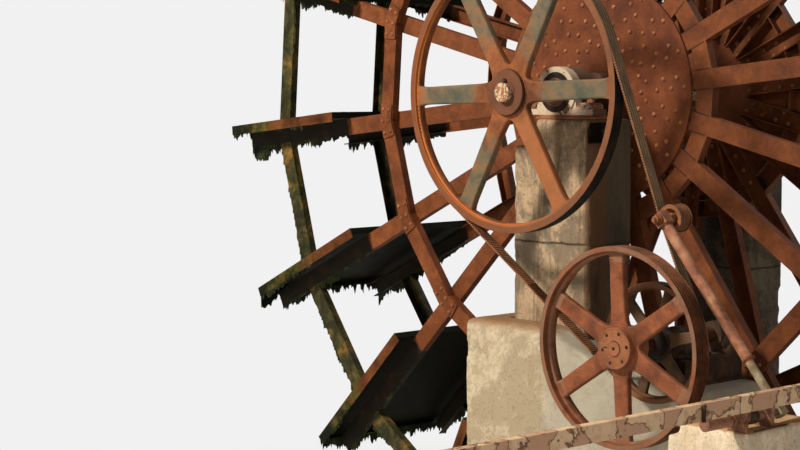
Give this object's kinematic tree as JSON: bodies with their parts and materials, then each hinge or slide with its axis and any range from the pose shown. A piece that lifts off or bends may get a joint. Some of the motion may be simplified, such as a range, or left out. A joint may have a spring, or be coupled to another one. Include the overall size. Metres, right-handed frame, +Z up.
{
  "type": "water wheel",
  "caption": "Steel water wheel with pan blades between concrete piers, and its belt drive to a countershaft.",
  "frame": {"origin": "floor level under the axle, in the foot of the near pier", "axes": "+X right, +Y along the axle from the near pier to the far pier, +Z up"},
  "size_m": [6.186, 4.25, 6.3883],
  "materials": {
    "concrete": "rough",
    "old_steel": "rough",
    "rust_orange": "rough",
    "mossy_steel": "rough",
    "bearing_paint": "satin",
    "shaft_steel": "satin",
    "rail_paint": "rough",
    "belt_rubber": "rough",
    "seal_rubber": "satin"
  },
  "bodies": {
    "piers": {"near_pier": "concrete", "far_pier": "concrete", "plinth_block": "concrete", "small_block": "concrete", "rail_post": "concrete", "near_bearing_housing": "bearing_paint", "far_bearing_housing": "bearing_paint", "bearing_seals": "seal_rubber", "packing_plates": "old_steel", "countershaft_stand": "old_steel", "countershaft_bearings": "old_steel", "drive_belts": "belt_rubber", "rail": "rail_paint", "hinge_saddles": "old_steel", "hinge_sleeve": "old_steel"},
    "wheel": {"main_axle": "shaft_steel", "near_disc": "old_steel", "far_disc": "old_steel", "near_boss": "rust_orange", "far_boss": "rust_orange", "near_spokes": "old_steel", "far_spokes": "old_steel", "near_hub_ring": "old_steel", "far_hub_ring": "old_steel", "near_inner_ring": "old_steel", "far_inner_ring": "old_steel", "near_outer_ring": "mossy_steel", "far_outer_ring": "mossy_steel", "near_fishplates": "old_steel", "far_fishplates": "old_steel", "blades": "mossy_steel", "upper_sheave": "rust_orange"},
    "counter": {"countershaft": "shaft_steel", "small_sheave": "rust_orange", "takeoff_sheave": "rust_orange"},
    "tensioner": {"hinge_rod": "shaft_steel", "tensioner_pole": "rail_paint", "idler_bolt": "shaft_steel"},
    "idler": {"idler_roller": "old_steel"}
  },
  "joints": [
    {"name": "wheel_spin", "type": "hinge", "parent": "piers", "child": "wheel", "pos_m": [0, 0.625, 3.3], "axis": [0, 1, 0], "continuous": true},
    {"name": "countershaft_spin", "type": "hinge", "parent": "piers", "child": "counter", "pos_m": [0.957, -0.4, 2.115], "axis": [0, 1, 0], "continuous": true},
    {"name": "tensioner_swing", "type": "hinge", "parent": "piers", "child": "tensioner", "pos_m": [1.735, -0.625, 1.9], "axis": [0, 1, 0], "range_deg": [0, 15]},
    {"name": "idler_spin", "type": "hinge", "parent": "tensioner", "child": "idler", "pos_m": [1.06754, -0.532, 2.71326], "axis": [0, 1, 0], "continuous": true}
  ],
  "couplings": [
    {"joint": "countershaft_spin", "follows": "wheel_spin", "ratio": 2.4759},
    {"joint": "idler_spin", "follows": "wheel_spin", "ratio": -11.597}
  ]
}
